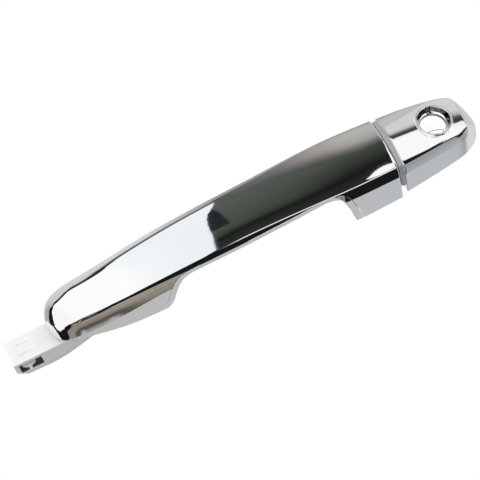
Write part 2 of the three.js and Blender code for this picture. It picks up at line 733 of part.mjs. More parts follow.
base = base.subtract(solid(crossBore));
[-1, 1].forEach((side) => {
  base = base.subtract(
    postZ(CAP_SCREW_X, side * capScrewY, baseLow - 1, baseTop + 1, SCREW_SHANK + CLEARANCE),
  );
});
add('cap_base', base, PALE_PLASTIC);

const gasketHigh = baseLow - CLEARANCE;
let gasket = capBody(GASKET_INSET, -6, 8, 7, 4, 2)
  .intersect(block(0, CAP_LENGTH, -REACH, REACH, 0, gasketHigh));
gasket = gasket.subtract(block(
  bossFront - 0.5, bossBack + 0.5, -bossHalf - 0.5, bossHalf + 0.5, -1, gasketHigh + 1,
));
gasket = gasket.subtract(postZ(passageX, 0, -1, gasketHigh + 1, passage - 1, 40));
[-1, 1].forEach((side) => {
  gasket = gasket.subtract(
    postZ(CAP_SCREW_X, side * capScrewY, -1, gasketHigh + 1, SCREW_HEAD + CLEARANCE),
  );
});
add('cap_gasket', gasket, RUBBER);
[-1, 1].forEach((side, i) => {
  screw(
    `cap_screw_${i + 1}`, CAP_SCREW_X, side * capScrewY,
    baseLow - CLEARANCE - SCREW_HEAD_HEIGHT, BASE_THICKNESS + CAP_SCREW_GRIP,
  );
});

const handle = new THREE.Group();
handle.name = 'door_handle';
handle.add(...parts);
export default handle;
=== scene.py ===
"""Looks of the car door handle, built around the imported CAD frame."""
import math

import bmesh
import bpy
from mathutils import Matrix, Vector


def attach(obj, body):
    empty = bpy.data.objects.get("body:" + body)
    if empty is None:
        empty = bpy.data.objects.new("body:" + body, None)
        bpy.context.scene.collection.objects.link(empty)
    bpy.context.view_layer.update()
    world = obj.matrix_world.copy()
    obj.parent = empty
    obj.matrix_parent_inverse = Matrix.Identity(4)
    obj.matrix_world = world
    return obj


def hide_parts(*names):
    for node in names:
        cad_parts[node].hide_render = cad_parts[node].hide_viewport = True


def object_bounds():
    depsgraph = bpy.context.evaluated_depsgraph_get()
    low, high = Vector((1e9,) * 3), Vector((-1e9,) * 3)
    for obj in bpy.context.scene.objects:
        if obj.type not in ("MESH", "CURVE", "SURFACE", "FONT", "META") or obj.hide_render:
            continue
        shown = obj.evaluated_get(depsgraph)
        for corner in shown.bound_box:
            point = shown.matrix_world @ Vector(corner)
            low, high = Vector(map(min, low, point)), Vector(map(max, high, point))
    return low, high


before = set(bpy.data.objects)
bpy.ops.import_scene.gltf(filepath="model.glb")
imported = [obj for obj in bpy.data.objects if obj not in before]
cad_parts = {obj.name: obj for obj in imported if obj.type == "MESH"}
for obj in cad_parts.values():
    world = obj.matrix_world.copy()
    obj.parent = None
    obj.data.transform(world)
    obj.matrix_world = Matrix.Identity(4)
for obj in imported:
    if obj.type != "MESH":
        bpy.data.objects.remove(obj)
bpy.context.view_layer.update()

MM = 0.001
SEAT_X = 16.0
SKIN = 0.04          # how far the smooth skins stay inside the faceted ones, mm

# ---------- sizes shared with the CAD, mm ----------
GRIP_LENGTH, GRIP_WIDTH, GRIP_HEIGHT, GRIP_CROWN = 194.2, 35.0, 31.4, 5.0
REAR_X = -3.0
TIP_X = REAR_X - GRIP_LENGTH
WALL = 2.2
SIDE_DRAFT = 1.0
NOSE_ROUND, NOSE_FALL, NOSE_SWEEP, NOSE_LIFT = 18.0, 8.0, 3.0, 1.6
FRONT_FOOT_X = TIP_X + 61.2
REAR_FOOT_X = REAR_X - 27.2
GAP_HEIGHT = GRIP_HEIGHT + GRIP_CROWN - 9.6
BACKING = 3.8
CLEARANCE = 0.3
CAP_LENGTH, CAP_FRONT_HALF, CAP_REAR_HALF = 47.5, 15.9, 9.6
CAP_SIDE_BOW, CAP_CREASE, CAP_CREASE_FALL, CAP_CROWN = 1.0, 28.3, 4.4, 5.0
CAP_RIM_Z, CAP_ROUND, CAP_END_FALL = 3.0, 17.0, 15.0
TONGUE_INSET, TONGUE_FOOT = 0.8, 9.0
KEY_X, KEY_Y, KEY_TILT = 25.4, -1.0, 10.0
KEY_RIM, KEY_BORE, KEY_CONE, BEZEL_LIP = 9.7, 6.5, 3.0, 0.5
PIVOT_X, PIVOT_Z, ARM_NEAR = -214.4, -7.2, -4.95
WINDOW_FRONT, WINDOW_REAR, WINDOW_LOW, WINDOW_HIGH, WINDOW_DEPTH = 5.3, 7.5, 3.7, 4.1, 1.7
PASSAGE_X = KEY_X + 1
GASKET_TOP, BASE_LOW, BASE_TOP = 3.3, 3.6, 5.8
BACKING_SCREWS = (0.2, 0.82)     # places along the finger opening
SCREW_SEAT, SCREW_HOLE = 2.9, 1.5

# ---------- sizes of the visual skins ----------
ROUND_POWER = 2.4    # how square the rounded ends are, 2 being an ellipse
END_TURN = 1.565     # just short of a quarter turn, so that an end keeps some width
EDGE = 0.5           # rounding of the edges at the joint, mm
ROLL = 0.9           # radius of the backing's lower edges, mm
TOP_BEVEL = 0.08     # bevel of the backing's upper edges, mm
LIP_LEAN = 0.02      # how much the backing's sides lean in per mm
OPENING_STEPS = 170


def smoothstep(a, b, x):
    s = min(1.0, max(0.0, (x - a) / (b - a)))
    return s * s * (3 - 2 * s)


def curve_through(pairs):
    """Smooth curve through [position, value] pairs."""
    slopes = []
    for i in range(len(pairs)):
        a, b = pairs[max(0, i - 1)], pairs[min(len(pairs) - 1, i + 1)]
        slopes.append((b[1] - a[1]) / (b[0] - a[0]))

    def value(x):
        i = 0
        while i < len(pairs) - 2 and x > pairs[i + 1][0]:
            i += 1
        (x0, y0), (x1, y1) = pairs[i], pairs[i + 1]
        h = x1 - x0
        s = min(1.0, max(0.0, (x - x0) / h))
        a = (1 + 2 * s) * (1 - s) ** 2 * y0 + s * s * (3 - 2 * s) * y1
        return a + h * (s * (1 - s) ** 2 * slopes[i] - s * s * (1 - s) * slopes[i + 1])
    return value


# ---------- stations of the two skins ----------
grip_half = curve_through([
    (0, 0.455), (0.139, 0.4715), (0.386, 0.423), (0.644, 0.397), (0.824, 0.354), (1, 0.285)])
grip_crease = curve_through([
    (0, 0.924), (0.15, 0.981), (0.3, 1), (0.515, 0.975), (0.747, 0.853), (0.901, 0.653),
    (1, 0.51)])


def band_width(along):
    """Height of the band of the side wall that leans in, from the cap end to the nose."""
    return (9 + 3 * smoothstep(0.3, 0.65, along) + 4 * smoothstep(0.7, 0.87, along)
            - 2 * smoothstep(0.9, 1.0, along))


def grip_station(x, inset):
    along = (REAR_X - x) / GRIP_LENGTH
    from_tip = x - TIP_X - inset
    u = min(1.0, max(0.0, 1 - from_tip / NOSE_ROUND))
    rounding = (1 - u ** ROUND_POWER) ** (1 / ROUND_POWER)
    v = min(1.0, max(0.0, 1 - from_tip / NOSE_FALL))
    fall = NOSE_FALL * (1 - math.sqrt(1 - v * v))
    return dict(
        x=x, middle=NOSE_SWEEP * smoothstep(0.76, 0.98, along),
        half=max(0.02, (grip_half(along) * GRIP_WIDTH - inset) * rounding),
        draft=SIDE_DRAFT * rounding, crease=grip_crease(along) * GRIP_HEIGHT - fall - inset * 0.6,
        crown=GRIP_CROWN * (0.55 + 0.45 * rounding) - inset * 0.4,
        foot=NOSE_LIFT * smoothstep(0.8, 0.96, along),
        shoulder=grip_crease(along) * GRIP_HEIGHT - fall - band_width(along))


def cap_station(x, inset, foot=CAP_RIM_Z):
    along = x / CAP_LENGTH
    from_end = CAP_LENGTH - inset - x
    u = min(1.0, max(0.0, 1 - from_end / CAP_ROUND))
    rounding = max(0.0, 1 - u ** ROUND_POWER) ** (1 / ROUND_POWER)
    v = min(1.0, max(0.0, 1 - from_end / (CAP_ROUND * 0.5)))
    bow = CAP_SIDE_BOW * math.sin(math.pi * along)
    half = CAP_FRONT_HALF + (CAP_REAR_HALF - CAP_FRONT_HALF) * along + bow
    return dict(
        x=x, middle=bow / 2, half=max(0.02, (half - inset) * rounding),
        draft=SIDE_DRAFT * rounding,
        crease=CAP_CREASE - CAP_CREASE_FALL * along - CAP_END_FALL * v ** 1.5 - inset * 0.6,
        crown=CAP_CROWN * (1 - 0.5 * along) * (0.4 + 0.6 * rounding) - inset * 0.4, foot=foot,
        shoulder=CAP_CREASE - CAP_CREASE_FALL * along - CAP_END_FALL * v ** 1.5 - 8)


def reach_at(s, z):
    """Half width of a station at height z: an upright skirt, then a band that leans in."""
    shoulder = s["shoulder"]
    if z <= shoulder:
        return s["half"] + s["draft"]
    t = min(1.0, (z - shoulder) / (s["crease"] - shoulder))
    return s["half"] + s["draft"] * (1 - 0.5 * t - 0.5 * t ** 5)


def section(s, low, edge, wall=14, band=10, corner=7, crown=22):
    """Points of one station from the near rim over the crown to the far rim.
    The crease is rounded over a length of about edge."""
    shoulder = s["shoulder"]
    edge = min(edge, 0.3 * s["half"])
    rise = s["crease"] - shoulder
    t_band = 1 - edge / math.hypot(3 * s["draft"], rise)
    t_crown = 1 - edge / math.hypot(s["half"], 2 * s["crown"])
    band_low = max(low, min(shoulder, s["crease"] - 0.5))
    z_band = shoulder + rise * t_band
    wall_top = max(low, band_low - 0.35)
    side = []
    for i in range(wall):
        z = low + (wall_top - low) * i / (wall - 1)
        side.append((reach_at(s, z), z))
    for i in range(band):
        z = band_low + (z_band - band_low) * i / band
        side.append((reach_at(s, z), z))
    p0 = Vector((reach_at(s, z_band), z_band))
    p2 = Vector((s["half"] * t_crown, s["crease"] + s["crown"] * (1 - t_crown ** 2)))
    p1 = Vector((s["half"], s["crease"]))
    for i in range(corner + 1):
        t = i / corner
        p = p0 * (1 - t) ** 2 + p1 * 2 * t * (1 - t) + p2 * t * t
        side.append((p.x, p.y))
    for i in range(1, crown):
        t = t_crown * (1 - i / crown)
        side.append((s["half"] * t, s["crease"] + s["crown"] * (1 - t * t)))
    near = [(s["x"], s["middle"] - y, z) for y, z in side]
    top = [(s["x"], s["middle"], s["crease"] + s["crown"])]
    far = [(s["x"], s["middle"] + y, z) for y, z in reversed(side)]
    return near + top + far


# ---------- finger opening ----------
OPENING = [
    (0, 0), (0.029, 0.15), (0.061, 0.44), (0.092, 0.655), (0.131, 0.775), (0.185, 0.812),
    (0.285, 0.825), (0.47, 0.855), (0.675, 0.925), (0.81, 0.986), (0.885, 1), (0.936, 0.94),
    (0.955, 0.82), (0.97, 0.61), (0.988, 0.33), (1, 0)]
SPAN = REAR_FOOT_X - FRONT_FOOT_X
opening_knots = [Vector((FRONT_FOOT_X + a * SPAN, b * GAP_HEIGHT)) for a, b in OPENING]


def opening_point(t):
    """Point of the opening's spline, t from 0 at the front foot to 1 at the rear foot."""
    p = (len(opening_knots) - 1) * t
    i = min(int(p), len(opening_knots) - 2)
    w = p - i
    k = [opening_knots[min(len(opening_knots) - 1, max(0, j))] for j in (i - 1, i, i + 1, i + 2)]
    if i == 0:
        k[0] = opening_knots[0]
    v0, v1 = (k[2] - k[0]) * 0.5, (k[3] - k[1]) * 0.5
    return ((k[1] * 2 - k[2] * 2 + v0 + v1) * w ** 3
            + (k[1] * -3 + k[2] * 3 - v0 * 2 - v1) * w ** 2 + v0 * w + k[1])


def opening_line(steps):
    """(point, inward normal) pairs along the opening."""
    line = []
    for i in range(steps + 1):
        t = i / steps
        a, b = opening_point(max(0, t - 0.002)), opening_point(min(1, t + 0.002))
        along = (b - a).normalized()
        line.append((opening_point(t), Vector((-along.y, along.x))))
    return line


def opening_edge(offset, steps=150):
    edge = []
    for p, n in opening_line(steps):
        q = p + n * offset
        edge.append((q.x, q.y))
    edge[0] = (edge[0][0], 0.0)
    edge[-1] = (edge[-1][0], 0.0)
    keep = [edge[0]]
    for q in edge[1:]:
        if q[0] > keep[-1][0] + 0.02:
            keep.append((q[0], max(q[1], 0.0)))
    return keep


# ---------- mesh makers ----------
def make_object(name, points, faces, smooth_angle=34.0):
    mesh = bpy.data.meshes.new(name)
    mesh.from_pydata([((x - SEAT_X) * MM, y * MM, z * MM) for x, y, z in points], [], faces)
    mesh.validate()
    ob = bpy.data.objects.new(name, mesh)
    bpy.context.scene.collection.objects.link(ob)
    tidy_mesh(ob, smooth_angle)
    return ob


def tidy_mesh(ob, smooth_angle):
    bm = bmesh.new()
    bm.from_mesh(ob.data)
    bmesh.ops.remove_doubles(bm, verts=bm.verts, dist=2e-7)
    bmesh.ops.dissolve_degenerate(bm, edges=bm.edges, dist=1e-7)
    bmesh.ops.recalc_face_normals(bm, faces=bm.faces)
    mark_sharp(bm, smooth_angle)
    bm.to_mesh(ob.data)
    bm.free()


def mark_sharp(bm, smooth_angle):
    limit = math.radians(smooth_angle)
    for f in bm.faces:
        f.smooth = True
    for e in bm.edges:
        e.smooth = len(e.link_faces) == 2 and e.calc_face_angle(0.0) < limit


def shell(outer, inner):
    """Closed shell from two matching grids of rows: skins, both rims and both ends."""
    rows, n = len(outer), len(outer[0])
    points = [p for row in outer for p in row] + [p for row in inner for p in row]
    base = rows * n
    faces = []
    for i in range(rows - 1):
        for j in range(n - 1):
            a = i * n + j
            faces.append((a, a + 1, a + n + 1, a + n))
            faces.append((base + a, base + a + n, base + a + n + 1, base + a + 1))
        for j in (0, n - 1):
            a, b = i * n + j, (i + 1) * n + j
            faces.append((a, b, base + b, base + a))
    for i in (0, rows - 1):
        for off in (0, base):
            faces.append(tuple(off + i * n + j for j in range(n)))
        faces.append((i * n, i * n + n - 1, base + i * n + n - 1, base + i * n))
    return points, faces


def solid_rows(rows):
    """Closed body over a row of closed loops with flat ends."""
    n = len(rows[0])
    points = [p for row in rows for p in row]
    faces = []
    for i in range(len(rows) - 1):
        for j in range(n):
            a, b = i * n + j, i * n + (j + 1) % n
            faces.append((a, b, b + n, a + n))
    faces.append(tuple(range(n)))
    faces.append(tuple((len(rows) - 1) * n + j for j in range(n)))
    return points, faces


def turned(name, profile, sides, place, smooth_angle=30.0):
    """Turned piece from a closed [radius, height] outline, placed by a matrix in mm."""
    points, faces = [], []
    n = len(profile)
    for i in range(sides):
        a = 2 * math.pi * i / sides
        points += [tuple(place @ Vector((r * math.cos(a), r * math.sin(a), h))) for r,
                   h in profile]
    for i in range(sides):
        for j in range(n):
            a, b = i * n + j, i * n + (j + 1) % n
            c, d = ((i + 1) % sides) * n + (j + 1) % n, ((i + 1) % sides) * n + j
            faces.append((a, b, c, d))
    return make_object(name, points, faces, smooth_angle)


def apply_cut(ob, cutter, operation="DIFFERENCE"):
    mod = ob.modifiers.new("cut", "BOOLEAN")
    mod.object, mod.operation, mod.solver = cutter, operation, "EXACT"
    graph = bpy.context.evaluated_depsgraph_get()
    mesh = bpy.data.meshes.new_from_object(ob.evaluated_get(graph))
    ob.modifiers.clear()
    ob.data = mesh
    bpy.data.objects.remove(cutter)


def post(radius, z0, z1, place, sides=96):
    loops = []
    for z in (z0, z1):
        loops.append([tuple(place @ Vector((radius * math.cos(2 * math.pi * i / sides),
                                            radius * math.sin(2 * math.pi * i / sides), z)))
                      for i in range(sides)])
    points, faces = solid_rows(loops)
    return make_object("cutter", points, faces)


def softened(name, node, width, segments=3, angle=28.0):
    """A copy of a CAD node's shape with its hard edges rounded over width mm."""
    ob = bpy.data.objects.new(name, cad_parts[node].data.copy())
    bpy.context.scene.collection.objects.link(ob)
    ob.data.materials.clear()
    bm = bmesh.new()
    bm.from_mesh(ob.data)
    bmesh.ops.remove_doubles(bm, verts=bm.verts, dist=2e-6)
    bmesh.ops.dissolve_limit(
        bm, angle_limit=math.radians(1.0), verts=bm.verts, edges=bm.edges)
    bm.to_mesh(ob.data)
    bm.free()
    mod = ob.modifiers.new("edge", "BEVEL")
    mod.width, mod.segments, mod.limit_method = width * MM, segments, "ANGLE"
    mod.angle_limit = math.radians(angle)
    mod.use_clamp_overlap = True
    mod.harden_normals = False
    graph = bpy.context.evaluated_depsgraph_get()
    mesh = bpy.data.meshes.new_from_object(ob.evaluated_get(graph))
    ob.modifiers.clear()
    ob.data = mesh
    bm = bmesh.new()
    bm.from_mesh(ob.data)
    mark_sharp(bm, 32.0)
    bm.to_mesh(ob.data)
    bm.free()
    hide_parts(node)
    return ob


# ---------- materials ----------
def material(name, color, roughness, metallic, vary, bump, scale, spread=0.05, **extra):
    """Procedural finish: colour, roughness and bump all wander with noise."""
    mat = bpy.data.materials.new(name)
    mat.use_nodes = True
    nodes, links = mat.node_tree.nodes, mat.node_tree.links
    nodes.clear()
    out = nodes.new("ShaderNodeOutputMaterial")
    bsdf = nodes.new("ShaderNodeBsdfPrincipled")
    links.new(bsdf.outputs[0], out.inputs[0])
    bsdf.inputs["Metallic"].default_value = metallic
    for key, value in extra.items():
        bsdf.inputs[key].default_value = value
    coords = nodes.new("ShaderNodeTexCoord")
    broad = nodes.new("ShaderNodeTexNoise")
    broad.inputs["Scale"].default_value = scale
    broad.inputs["Detail"].default_value = 4
    links.new(coords.outputs["Object"], broad.inputs["Vector"])
    ramp = nodes.new("ShaderNodeValToRGB")
    ramp.color_ramp.elements[0].position, ramp.color_ramp.elements[1].position = 0.3, 0.7
    ramp.color_ramp.elements[0].color = (*[c * (1 - vary) for c in color], 1)
    ramp.color_ramp.elements[1].color = (*color, 1)
    links.new(broad.outputs["Fac"], ramp.inputs["Fac"])
    links.new(ramp.outputs["Color"], bsdf.inputs["Base Color"])
    rough = nodes.new("ShaderNodeMapRange")
    rough.inputs["To Min"].default_value = max(0.0, roughness - spread)
    rough.inputs["To Max"].default_value = roughness + spread
    fine = nodes.new("ShaderNodeTexNoise")
    fine.inputs["Scale"].default_value = scale * 14
    fine.inputs["Detail"].default_value = 3
    links.new(coords.outputs["Object"], fine.inputs["Vector"])
    links.new(fine.outputs["Fac"], rough.inputs["Value"])
    links.new(rough.outputs["Result"], bsdf.inputs["Roughness"])
    relief = nodes.new("ShaderNodeBump")
    relief.inputs["Strength"].default_value = bump
    relief.inputs["Distance"].default_value = 0.00005
    links.new(fine.outputs["Fac"], relief.inputs["Height"])
    links.new(relief.outputs["Normal"], bsdf.inputs["Normal"])
    return mat


CHROME = material("chrome_plate", (0.90, 0.905, 0.91), 0.03, 1.0, 0.015, 0.004, 60, 0.012)
ZINC = material("cast_zinc", (0.72, 0.72, 0.74), 0.36, 0.55, 0.08, 0.25, 90, 0.06)
WHITE_ZINC = material("pale_zinc", (0.92, 0.92, 0.925), 0.42, 0.1, 0.04, 0.2, 90, 0.06)
# Near black for the walls and floor of the window in the arm: painted shade in that recess.
ARM_WINDOW_SHADE = material("arm_window_painted_shade", (0.07, 0.07, 0.075), 0.5, 0.2, 0.3, 0.2, 200, 0.06)
BLACK = material("black_plastic", (0.028, 0.028, 0.030), 0.5, 0.0, 0.25, 0.5, 120, 0.08)
PALE = material("pale_plastic", (0.86, 0.86, 0.84), 0.45, 0.0, 0.05, 0.3, 100, 0.06)
RUBBER = material("rubber", (0.018, 0.018, 0.019), 0.8, 0.0, 0.3, 0.6, 160, 0.06)
SATIN = material("satin_plate", (0.52, 0.53, 0.54), 0.38, 0.4, 0.06, 0.05, 120, 0.05)
# Dark chrome with strong spotty noise for the key hole's cone and bore: painted shade and painted
# reflections in that hollow.
SHADE_PAINTED_CHROME = material("chrome_painted_shade", (0.24, 0.24, 0.25), 0.05, 1.0, 0.96, 0.004, 420, 0.02)
# Pale moulded plastic that glows with a constant emission: painted light that makes the insides of
# the cap and of the key passage look white.
INSIDE_GLOW = material("moulded_inside_glow", (0.86, 0.86, 0.85), 0.5, 0.0, 0.02, 0.1, 80, 0.05,
                  **{"Emission Color": (1, 1, 1, 1), "Emission Strength": 0.45})
STEEL = material("screw_steel", (0.62, 0.58, 0.46), 0.3, 1.0, 0.12, 0.2, 200, 0.06)


def finish_piece(ob, mat, body):
    ob.data.materials.clear()
    ob.data.materials.append(mat)
    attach(ob, body)
    return ob


def second_material(ob, mat, chosen):
    """Gives another material to the faces whose middle, in the part's mm, is chosen."""
    ob.data.materials.append(mat)
    for face in ob.data.polygons:
        x, y, z = face.center
        if chosen(x / MM + SEAT_X, y / MM, z / MM):
            face.material_index = len(ob.data.materials) - 1


# ---------- grip cover ----------
cover_edge = opening_edge(BACKING + CLEARANCE)


def cover_low(x):
    """Height of the cover's lower rim at x."""
    for (xa, za), (xb, zb) in zip(cover_edge, cover_edge[1:]):
        if xa <= x <= xb:
            return za + (zb - za) * (x - xa) / (xb - xa)
    return None


def spread(a, b, n):
    return [a + (b - a) * i / n for i in range(n)]


stations = []
for i in range(9):                                   # rounded rear edge
    a = math.pi / 2 * (1 - i / 8)
    stations.append((REAR_X - EDGE + EDGE * math.sin(a), SKIN + EDGE * (1 - math.cos(a))))
stations += [(x, SKIN) for x in spread(REAR_X - EDGE - 1.0, cover_edge[-1][0], 24)]
stations += [(x, SKIN) for x, _ in reversed(cover_edge)]
nose_x = TIP_X + NOSE_ROUND
stations += [(x, SKIN) for x in spread(cover_edge[0][0] - 0.8, nose_x, 40)]
for i in range(61):
    stations.append((nose_x - (NOSE_ROUND - SKIN) * math.sin(END_TURN * i / 60), SKIN))


def cover_row(x, inset, deeper):
    s = grip_station(x, inset + deeper)
    low = cover_low(x)
    low = s["foot"] if low is None else max(low, s["foot"])
    low = min(low, s["crease"] - 0.8)
    return section(s, low, 0.9 if deeper == 0 else 0.5)


outer = [cover_row(x, inset, 0) for x, inset in stations]
inner = []
for x, inset in stations:
    x_in = min(REAR_X - WALL, max(TIP_X + WALL + 0.05, x))
    row = cover_row(x_in, 0, WALL)
    low = [p[2] for p in cover_row(x, inset, 0)][0]
    row[0], row[-1] = (x_in, row[0][1], low), (x_in, row[-1][1], low)
    inner.append(row)
points, faces = shell(outer, inner)
cover = make_object("grip_shell", points, faces)
finish_piece(cover, CHROME, "grip")
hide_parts("grip_cover")

# ---------- grip backing ----------
def between(a, b, parts=12):
    """Points inside the line from a to b."""
    return [tuple(a[k] + (b[k] - a[k]) * i / parts for k in range(3)) for i in range(1, parts)]


def backing_row(p, n, end):
    """Loop around the backing at one point of the opening: flat underside, rolled edges."""
    loop = []
    top = p + n * BACKING
    upright = reach_at(grip_station(top.x, SKIN), max(top.y, 0.0))

    def at(d, pull, side):
        q = p + n * d
        z = 0.0 if end else max(q.y, 0.0)
        s = grip_station(q.x, SKIN)
        reach = min(reach_at(s, z), upright) - LIP_LEAN * (BACKING - d) - pull
        return (q.x, s["middle"] + side * reach, z)

    for side in (-1, 1):
        arm = []
        for i in range(7):
            a = math.pi / 2 * i / 6
            arm.append(at(ROLL * (1 - math.sin(a)), ROLL * (1 - math.cos(a)), side))
        arm = arm[::-1]
        arm.append(at(BACKING - TOP_BEVEL, 0, side))
        arm.append(at(BACKING, TOP_BEVEL, side))
        loop += arm[::-1] if side > 0 else arm
    half = len(loop) // 2
    over = between(loop[half - 1], loop[half])
    under = between(loop[-1], loop[0])
    return loop[:half] + over + loop[half:] + under


line = opening_line(OPENING_STEPS)
rows = [backing_row(p, n, i in (0, OPENING_STEPS)) for i, (p, n) in enumerate(line)]
points, faces = solid_rows(rows)
backing = make_object("grip_lining", points, faces)


def opening_height(x):
    low, high = 0.0, 1.0
    for _ in range(40):
        mid = (low + high) / 2
        if opening_point(mid).x < x:
            low = mid
        else:
            high = mid
    return opening_point(low).y


for a in BACKING_SCREWS:
    x = FRONT_FOOT_X + a * SPAN
    at = Matrix.Translation((x, 0, opening_height(x)))
    apply_cut(backing, post(SCREW_SEAT, -4, 1.6, at))
    apply_cut(backing, post(SCREW_HOLE, 1, 10, at, 64))
tidy_mesh(backing, 34)
finish_piece(backing, CHROME, "grip")
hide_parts("grip_backing")

# ---------- cap ----------
cap_rows = []
for i in range(9):
    a = math.pi / 2 * (1 - i / 8)
    cap_rows.append((EDGE - EDGE * math.sin(a), SKIN + EDGE * (1 - math.cos(a))))
round_x = CAP_LENGTH - CAP_ROUND
cap_rows += [(x, SKIN) for x in spread(EDGE + 0.8, round_x, 44)]
for i in range(71):
    cap_rows.append((round_x + (CAP_ROUND - 0.1) * math.sin(END_TURN * i / 70), SKIN))
outer = [section(cap_station(x, inset), CAP_RIM_Z, 0.8) for x, inset in cap_rows]
inner = []
for x, inset in cap_rows:
    x_in = max(WALL, min(CAP_LENGTH - WALL - 0.05, x))
    inner.append(section(cap_station(x_in, WALL), CAP_RIM_Z, 0.5))
points, faces = shell(outer, inner)
cap = make_object("cap_shell", points, faces)
key_station = cap_station(KEY_X, 0)
key_top = key_station["crease"] + key_station["crown"] * (1 - (KEY_Y / key_station["half"]) ** 2)
at_key = (Matrix.Translation((KEY_X, KEY_Y, key_top))
          @ Matrix.Rotation(math.radians(KEY_TILT), 4, "Y"))
apply_cut(cap, post(KEY_RIM + 0.12, -12, 12, at_key, 128))
tidy_mesh(cap, 34)
finish_piece(cap, CHROME, "cap")
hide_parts("cap_cover")


def inside_cap(x, y, z):
    """Whether a point is under the cap's outer skin."""
    s = cap_station(min(max(x, 0.0), CAP_LENGTH - 0.5), 1.2)
    t = (y - s["middle"]) / s["half"]
    return x > 1.2 and abs(t) < 1 and z < s["crease"] + s["crown"] * (1 - t * t)


# The cap's inner faces get the glowing plastic: painted light inside the key hole.
second_material(cap, INSIDE_GLOW, inside_cap)

# Tongue in the joint, with its edges rounded.
tongue_rows = []
for x, pull in ((-2.45, 0.45), (-2.35, 0.2), (-2.15, 0.04), (-1.8, 0.0), (0.5, 0.0)):
    s = cap_station(0, 0, TONGUE_FOOT)
    s["half"] -= TONGUE_INSET + pull + SKIN
    s["crease"] -= TONGUE_INSET * 0.7 + pull
    s["crown"] -= TONGUE_INSET * 0.3
    s["x"] = x
    tongue_rows.append(section(s, TONGUE_FOOT + pull, 0.6))
points, faces = solid_rows(tongue_rows)
tongue = make_object("cap_tongue", points, faces)
finish_piece(tongue, SATIN, "cap")

drop = KEY_CONE + 2
bezel = turned("key_bezel", [
    (KEY_BORE, -drop), (KEY_BORE + 1.1, -drop), (KEY_RIM - 0.4, -KEY_CONE * 0.75),
    (KEY_RIM, -0.6), (KEY_RIM, BEZEL_LIP * 0.35), (KEY_RIM - 0.08, BEZEL_LIP * 0.7),
    (KEY_RIM - 0.28, BEZEL_LIP * 0.93), (KEY_RIM - 0.5, BEZEL_LIP),
    (KEY_RIM - 0.72, BEZEL_LIP * 0.93), (KEY_RIM - 0.95, BEZEL_LIP * 0.7),
    (KEY_RIM - 1.1, BEZEL_LIP * 0.3), (KEY_BORE + 0.9, -KEY_CONE + 0.5),
    (KEY_BORE + 0.55, -KEY_CONE + 0.1), (KEY_BORE + 0.3, -KEY_CONE - 0.02),
    (KEY_BORE + 0.1, -KEY_CONE - 0.2), (KEY_BORE, -KEY_CONE - 0.5),
], 128, at_key, 40)
finish_piece(bezel, CHROME, "cap")
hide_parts("keyhole_bezel")
from_key = at_key.inverted()


def on_cone(x, y, z):
    """The bezel's cone and its bore, without the lip and the ring between them."""
    p = from_key @ Vector((x, y, z))
    r = math.hypot(p.x, p.y)
    cone = KEY_BORE + 0.9 < r < KEY_RIM - 1.1 and p.z > -KEY_CONE + 0.45
    bore = r < KEY_BORE + 0.05 and p.z < -KEY_CONE - 0.3
    return cone or bore


# The cone and bore take the dark spotty chrome: painted shade and painted reflections.
second_material(bezel, SHADE_PAINTED_CHROME, on_cone)

# ---------- arm, leg, plates and the rest ----------
for name, node, width, mat, body, slot in (
        ("arm_casting", "front_arm", 0.35, WHITE_ZINC, "grip", "cast_zinc"),
        ("leg_casting", "rear_leg", 0.35, ZINC, "grip", "cast_zinc"),
        ("bush_body", "pivot_bush", 0.2, PALE, "grip", "pale_plastic"),
        ("core_bar", "grip_core", 0.3, BLACK, "grip", "black_plastic"),
        ("front_plate_body", "front_foot_plate", 0.2, BLACK, "grip", "black_plastic"),
        ("rear_plate_body", "rear_foot_plate", 0.2, BLACK, "grip", "black_plastic"),
        ("front_pad_body", "front_foot_pad", 0.35, RUBBER, "grip", "rubber"),
        ("rear_pad_body", "rear_foot_pad", 0.35, RUBBER, "grip", "rubber"),
        ("buffer_body", "leg_buffer", 0.3, RUBBER, "grip", "rubber"),
        ("base_body", "cap_base", 0.3, PALE, "cap", "pale_plastic"),
        ("gasket_body", "cap_gasket", 0.3, RUBBER, "cap", "rubber")):
    finish_piece(softened(name, node, width), mat, body)

PASSAGE_LIMIT = 9.9

# The key passage through the gasket and the base is wide, so nothing shows in the key hole.
for piece, passage, wider in (("gasket_body", 8.2, 1.6), ("base_body", 9.2, 0.9)):
    for vert in bpy.data.objects[piece].data.vertices:
        x, y = vert.co.x / MM + SEAT_X - PASSAGE_X, vert.co.y / MM
        r = math.hypot(x, y)
        if r < passage:
            vert.co.x += x / r * wider * MM
            vert.co.y += y / r * wider * MM


def in_passage(x, y, z):
    """Walls of the key passage, between the flat faces of the gasket and of the base."""
    return math.hypot(x - PASSAGE_X, y) < PASSAGE_LIMIT and (
        0.02 < z < GASKET_TOP - 0.02 or BASE_LOW + 0.02 < z < BASE_TOP - 0.02)


# The walls of the key passage glow too: painted light.
for piece in ("gasket_body", "base_body"):
    second_material(bpy.data.objects[piece], INSIDE_GLOW, in_passage)


def in_window(x, y, z):
    """Walls and floor of the window in the arm's near side."""
    return (-WINDOW_FRONT < x - PIVOT_X < WINDOW_REAR and 0.1 < y - ARM_NEAR < WINDOW_DEPTH
            and -WINDOW_LOW < z - PIVOT_Z < WINDOW_HIGH)


# The window in the arm gets the near black: painted shade.
second_material(bpy.data.objects["arm_casting"], ARM_WINDOW_SHADE, in_window)

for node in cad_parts:
    if "screw" in node:
        body = "cap" if node.startswith("cap") else "grip"
        finish_piece(softened(node + "_body", node, 0.12), STEEL, body)

